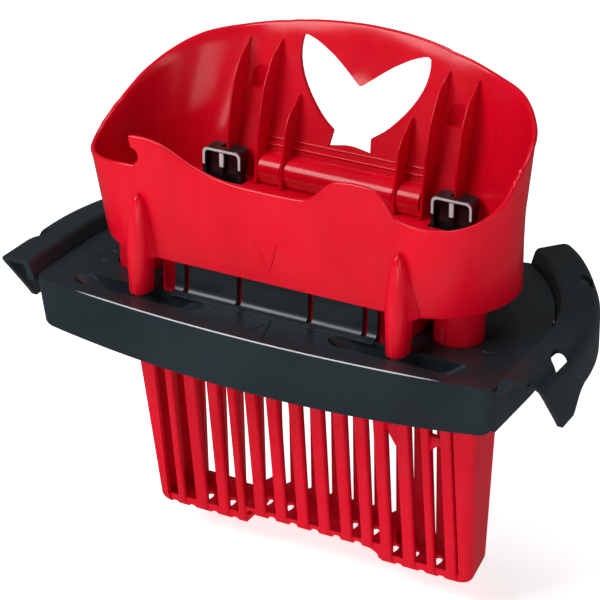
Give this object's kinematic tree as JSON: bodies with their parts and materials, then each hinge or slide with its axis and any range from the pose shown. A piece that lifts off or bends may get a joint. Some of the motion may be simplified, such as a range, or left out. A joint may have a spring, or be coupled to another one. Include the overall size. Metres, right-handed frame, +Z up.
{
  "type": "mop press wringer insert",
  "caption": "Press-down wringer insert for a flat-mop bucket: a red funnel and slatted basket slide down in a black tray frame that hooks over the rim and spring back up.",
  "frame": {"origin": "under the middle of the whole object, on the plane that the basket's feet stand on", "axes": "+Z up and against the pressing direction, -Y towards the user's side, +X to the right of someone facing the front"},
  "size_m": [0.2774, 0.1508, 0.2476],
  "materials": {
    "red_plastic": "gloss moulded",
    "red_basket_plastic": "gloss moulded",
    "black_plastic": "satin moulded",
    "black_tower_plastic": "satin moulded",
    "spring_steel": "drawn wire",
    "screw_steel": "zinc plated"
  },
  "bodies": {
    "frame": {"tray_frame": "black_plastic", "left_guide_tower": "black_tower_plastic", "left_tower_screw": "screw_steel", "left_spring_cup": "black_plastic", "left_cup_screw_1": "screw_steel", "left_cup_screw_2": "screw_steel", "left_return_spring": "spring_steel", "right_guide_tower": "black_tower_plastic", "right_tower_screw": "screw_steel", "right_spring_cup": "black_plastic", "right_cup_screw_1": "screw_steel", "right_cup_screw_2": "screw_steel", "right_return_spring": "spring_steel"},
    "carriage": {"press_funnel": "red_plastic", "slatted_basket": "red_basket_plastic", "left_spring_sleeve": "red_plastic", "left_sleeve_screw": "screw_steel", "left_basket_screw_1": "screw_steel", "left_basket_screw_2": "screw_steel", "right_spring_sleeve": "red_plastic", "right_sleeve_screw": "screw_steel", "right_basket_screw_1": "screw_steel", "right_basket_screw_2": "screw_steel"}
  },
  "joints": [
    {"name": "press_slide", "type": "slide", "parent": "frame", "child": "carriage", "axis": [0, 0, 1], "range_m": [-0.014, 0], "stiffness_N_per_m": 1100, "springref_m": 0.006, "deforming": ["left_return_spring", "right_return_spring"]}
  ]
}
